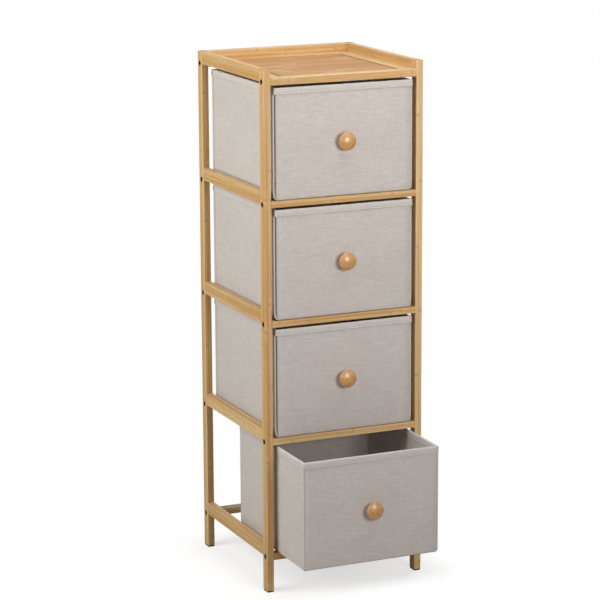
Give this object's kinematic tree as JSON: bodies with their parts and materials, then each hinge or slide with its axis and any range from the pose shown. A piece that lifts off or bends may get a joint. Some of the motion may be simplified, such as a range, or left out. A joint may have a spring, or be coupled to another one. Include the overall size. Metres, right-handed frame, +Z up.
{
  "type": "drawer tower",
  "caption": "Narrow open bamboo tower with sliding fabric drawers, turned wooden knobs and a recessed tray top.",
  "frame": {"origin": "middle of the part's footprint on the floor, with drawer 1 open as pictured", "axes": "+Z up, -Y out of the front where the drawers open, +X to the right seen from the front"},
  "size_m": [0.33, 0.4738, 1.015],
  "materials": {
    "bamboo": "satin lacquered bamboo",
    "beech": "bare beech",
    "knob_wood": "lacquered turned wood",
    "hardboard": "raw fibreboard",
    "linen": "linen-look woven cloth",
    "binding": "folded cloth binding",
    "board_cloth": "cloth-covered board",
    "black_plastic": "matte",
    "black_steel": "black-coated steel",
    "zinc_steel": "zinc-plated"
  },
  "bodies": {
    "frame": {"left_front_post": "bamboo", "left_rear_post": "bamboo", "right_front_post": "bamboo", "right_rear_post": "bamboo", "left_rail_1": "bamboo", "left_rail_2": "bamboo", "left_rail_3": "bamboo", "left_rail_4": "bamboo", "left_tray_rail": "bamboo", "right_rail_1": "bamboo", "right_rail_2": "bamboo", "right_rail_3": "bamboo", "right_rail_4": "bamboo", "right_tray_rail": "bamboo", "front_rail_1": "bamboo", "front_rail_2": "bamboo", "front_rail_3": "bamboo", "front_rail_4": "bamboo", "front_tray_rail": "bamboo", "back_rail_1": "bamboo", "back_rail_2": "bamboo", "back_rail_3": "bamboo", "back_rail_4": "bamboo", "back_tray_rail": "bamboo", "tray_panel": "bamboo", "rail_bolts": "black_steel", "barrel_nuts": "zinc_steel", "locating_dowels": "beech", "foot_glides": "black_plastic"},
    "drawer_1": {"drawer_1_cover": "linen", "drawer_1_wall_boards": "hardboard", "drawer_1_hem": "binding", "drawer_1_base_board": "board_cloth", "drawer_1_knob": "knob_wood", "drawer_1_knob_washer": "zinc_steel", "drawer_1_knob_screw": "zinc_steel"},
    "drawer_2": {"drawer_2_cover": "linen", "drawer_2_wall_boards": "hardboard", "drawer_2_hem": "binding", "drawer_2_base_board": "board_cloth", "drawer_2_knob": "knob_wood", "drawer_2_knob_washer": "zinc_steel", "drawer_2_knob_screw": "zinc_steel"},
    "drawer_3": {"drawer_3_cover": "linen", "drawer_3_wall_boards": "hardboard", "drawer_3_hem": "binding", "drawer_3_base_board": "board_cloth", "drawer_3_knob": "knob_wood", "drawer_3_knob_washer": "zinc_steel", "drawer_3_knob_screw": "zinc_steel"},
    "drawer_4": {"drawer_4_cover": "linen", "drawer_4_wall_boards": "hardboard", "drawer_4_hem": "binding", "drawer_4_base_board": "board_cloth", "drawer_4_knob": "knob_wood", "drawer_4_knob_washer": "zinc_steel", "drawer_4_knob_screw": "zinc_steel"}
  },
  "joints": [
    {"name": "drawer_1_slide", "type": "slide", "parent": "frame", "child": "drawer_1", "axis": [0, -1, 0], "range_m": [-0.122, 0.138]},
    {"name": "drawer_2_slide", "type": "slide", "parent": "frame", "child": "drawer_2", "axis": [0, -1, 0], "range_m": [0, 0.26]},
    {"name": "drawer_3_slide", "type": "slide", "parent": "frame", "child": "drawer_3", "axis": [0, -1, 0], "range_m": [0, 0.26]},
    {"name": "drawer_4_slide", "type": "slide", "parent": "frame", "child": "drawer_4", "axis": [0, -1, 0], "range_m": [0, 0.26]}
  ]
}
